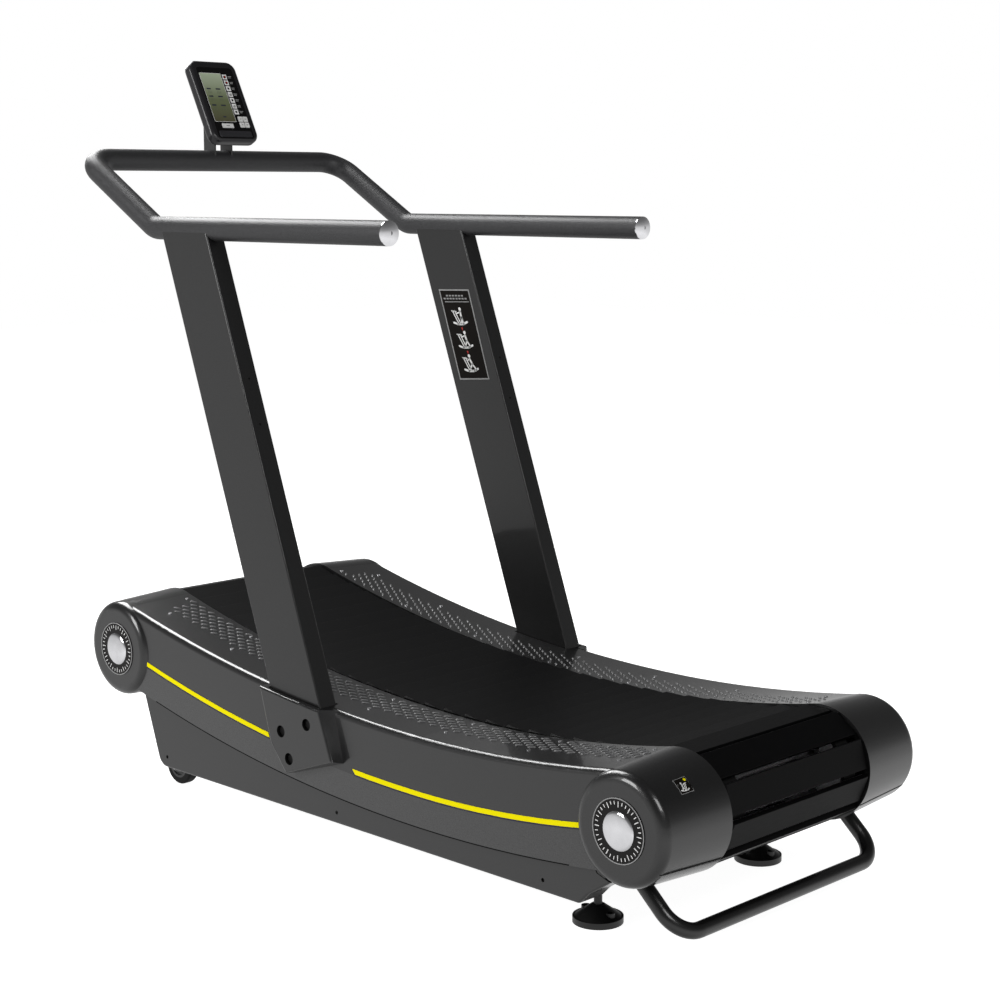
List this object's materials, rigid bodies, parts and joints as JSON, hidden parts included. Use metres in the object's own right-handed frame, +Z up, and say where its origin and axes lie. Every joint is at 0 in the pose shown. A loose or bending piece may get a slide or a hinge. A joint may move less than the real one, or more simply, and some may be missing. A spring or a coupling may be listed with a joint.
{
  "type": "curved manual treadmill",
  "caption": "Curved slat-belt treadmill with no motor: sagging belt between moulded side covers, leaning uprights, bent tube handlebar with grips, tilting console, lift handle and wheels.",
  "frame": {"origin": "on the floor, at the centre of the machine's footprint box", "axes": "+X towards the step-on end with the lift handle, the runner faces -X and the console is at the -X end; +Y to the right of the runner as the machine is drawn; +Z up"},
  "size_m": [1.7496, 0.8, 1.6383],
  "materials": {
    "shell_plastic": "satin textured",
    "base_steel": "satin powder coat",
    "upright_steel": "satin powder coat",
    "lift_steel": "satin powder coat",
    "handlebar_steel": "metallic dark grey",
    "polished": "polished",
    "bright_steel": "zinc plated",
    "black_bolt": "black oxide",
    "cast_housing": "painted casting",
    "bar_alloy": "extruded",
    "tread_rubber": "ribbed matte",
    "belt_rubber": "matte",
    "roller_nylon": "turned",
    "badge_plastic": "gloss with silver dome",
    "wheel_hub": "moulded",
    "wheel_tyre": "smooth",
    "foot_rubber": "moulded",
    "console_plastic": "satin",
    "console_gloss": "gloss",
    "display": "reflective display",
    "board": "circuit board",
    "cell": "printed sleeve",
    "keys": "satin",
    "sensor_plastic": "moulded",
    "magnet": "plated"
  },
  "bodies": {
    "frame": {"console_bracket": "base_steel", "deck_screws": "bright_steel", "drive_belts": "belt_rubber", "end_badges": "badge_plastic", "foot_locknuts": "bright_steel", "frame_crossmembers": "base_steel", "frame_rail_left": "base_steel", "frame_rail_right": "base_steel", "grip_caps": "polished", "handlebar": "handlebar_steel", "lift_handle": "lift_steel", "lower_cover_left": "base_steel", "lower_cover_right": "base_steel", "pivot_bolt": "bright_steel", "roller_studs": "bright_steel", "shaft_bearings": "cast_housing", "side_shell_left": "shell_plastic", "side_shell_right": "shell_plastic", "slat_bars": "bar_alloy", "slat_pads": "tread_rubber", "speed_sensor": "sensor_plastic", "tension_screws": "bright_steel", "track_rail_left": "base_steel", "track_rail_right": "base_steel", "track_tubes": "base_steel", "upright_bolts": "black_bolt", "upright_left": "upright_steel", "upright_right": "upright_steel", "wheel_bolts": "bright_steel", "wheel_brackets": "base_steel"},
    "front_drum": {"front_shaft": "bright_steel", "front_pulleys": "bar_alloy", "speed_magnet": "magnet"},
    "rear_drum": {"rear_shaft": "bright_steel", "rear_pulleys": "bar_alloy"},
    "wheel_left": {"wheel_hub_left": "wheel_hub", "wheel_tyre_left": "wheel_tyre"},
    "wheel_right": {"wheel_hub_right": "wheel_hub", "wheel_tyre_right": "wheel_tyre"},
    "foot_left": {"foot_left": "foot_rubber"},
    "foot_right": {"foot_right": "foot_rubber"},
    "console": {"console_front": "console_plastic", "console_rear": "console_plastic", "console_lens": "console_gloss", "console_display": "display", "console_board": "board", "battery_door": "console_plastic", "battery_cells": "cell", "console_screws": "bright_steel"},
    "roller_pair_1": {"support_rollers_1": "roller_nylon"},
    "roller_pair_2": {"support_rollers_2": "roller_nylon"},
    "roller_pair_3": {"support_rollers_3": "roller_nylon"},
    "roller_pair_4": {"support_rollers_4": "roller_nylon"},
    "roller_pair_5": {"support_rollers_5": "roller_nylon"},
    "roller_pair_6": {"support_rollers_6": "roller_nylon"},
    "button_mode": {"key_mode": "keys"},
    "button_reset": {"key_reset": "keys"},
    "button_set": {"key_set": "keys"},
    "button_up": {"key_up": "keys"},
    "button_down": {"key_down": "keys"}
  },
  "joints": [
    {"name": "rear_drum_spin", "type": "hinge", "parent": "frame", "child": "rear_drum", "pos_m": [0.7601, 0, 0.2468], "axis": [0, 1, 0], "continuous": true},
    {"name": "front_drum_spin", "type": "hinge", "parent": "frame", "child": "front_drum", "pos_m": [-0.7399, 0, 0.3237], "axis": [0, 1, 0], "continuous": true},
    {"name": "roller_pair_1_spin", "type": "hinge", "parent": "frame", "child": "roller_pair_1", "pos_m": [-0.55662, 0, 0.35177], "axis": [0, 1, 0], "continuous": true},
    {"name": "roller_pair_2_spin", "type": "hinge", "parent": "frame", "child": "roller_pair_2", "pos_m": [-0.33177, 0, 0.31275], "axis": [0, 1, 0], "continuous": true},
    {"name": "roller_pair_3_spin", "type": "hinge", "parent": "frame", "child": "roller_pair_3", "pos_m": [-0.10506, 0, 0.2866], "axis": [0, 1, 0], "continuous": true},
    {"name": "roller_pair_4_spin", "type": "hinge", "parent": "frame", "child": "roller_pair_4", "pos_m": [0.12277, 0, 0.27342], "axis": [0, 1, 0], "continuous": true},
    {"name": "roller_pair_5_spin", "type": "hinge", "parent": "frame", "child": "roller_pair_5", "pos_m": [0.35117, 0, 0.27368], "axis": [0, 1, 0], "continuous": true},
    {"name": "roller_pair_6_spin", "type": "hinge", "parent": "frame", "child": "roller_pair_6", "pos_m": [0.57917, 0, 0.29022], "axis": [0, 1, 0], "continuous": true},
    {"name": "wheel_left_spin", "type": "hinge", "parent": "frame", "child": "wheel_left", "pos_m": [-0.6719, -0.2613, 0.045], "axis": [0, 1, 0], "continuous": true},
    {"name": "wheel_right_spin", "type": "hinge", "parent": "frame", "child": "wheel_right", "pos_m": [-0.6719, 0.2613, 0.045], "axis": [0, 1, 0], "continuous": true},
    {"name": "foot_left_screw", "type": "slide", "parent": "frame", "child": "foot_left", "axis": [0, 0, 1], "range_m": [-0.025, 0.006]},
    {"name": "foot_right_screw", "type": "slide", "parent": "frame", "child": "foot_right", "axis": [0, 0, 1], "range_m": [-0.025, 0.006]},
    {"name": "console_tilt", "type": "hinge", "parent": "frame", "child": "console", "pos_m": [-0.8299, 0, 1.487], "axis": [0, 1, 0], "range_deg": [-25, 20]},
    {"name": "button_mode_press", "type": "slide", "parent": "console", "child": "button_mode", "axis": [-0.887, 0, -0.4617], "range_m": [0, 0.0012], "stiffness_N_per_m": 600, "springref_m": -0.0008},
    {"name": "button_reset_press", "type": "slide", "parent": "console", "child": "button_reset", "axis": [-0.887, 0, -0.4617], "range_m": [0, 0.0012], "stiffness_N_per_m": 600, "springref_m": -0.0008},
    {"name": "button_set_press", "type": "slide", "parent": "console", "child": "button_set", "axis": [-0.887, 0, -0.4617], "range_m": [0, 0.0012], "stiffness_N_per_m": 600, "springref_m": -0.0008},
    {"name": "button_up_press", "type": "slide", "parent": "console", "child": "button_up", "axis": [-0.887, 0, -0.4617], "range_m": [0, 0.0012], "stiffness_N_per_m": 600, "springref_m": -0.0008},
    {"name": "button_down_press", "type": "slide", "parent": "console", "child": "button_down", "axis": [-0.887, 0, -0.4617], "range_m": [0, 0.0012], "stiffness_N_per_m": 600, "springref_m": -0.0008}
  ],
  "couplings": [
    {"joint": "front_drum_spin", "follows": "rear_drum_spin", "ratio": 1},
    {"joint": "roller_pair_1_spin", "follows": "rear_drum_spin", "ratio": 4.6},
    {"joint": "roller_pair_2_spin", "follows": "rear_drum_spin", "ratio": 4.6},
    {"joint": "roller_pair_3_spin", "follows": "rear_drum_spin", "ratio": 4.6},
    {"joint": "roller_pair_4_spin", "follows": "rear_drum_spin", "ratio": 4.6},
    {"joint": "roller_pair_5_spin", "follows": "rear_drum_spin", "ratio": 4.6},
    {"joint": "roller_pair_6_spin", "follows": "rear_drum_spin", "ratio": 4.6}
  ]
}
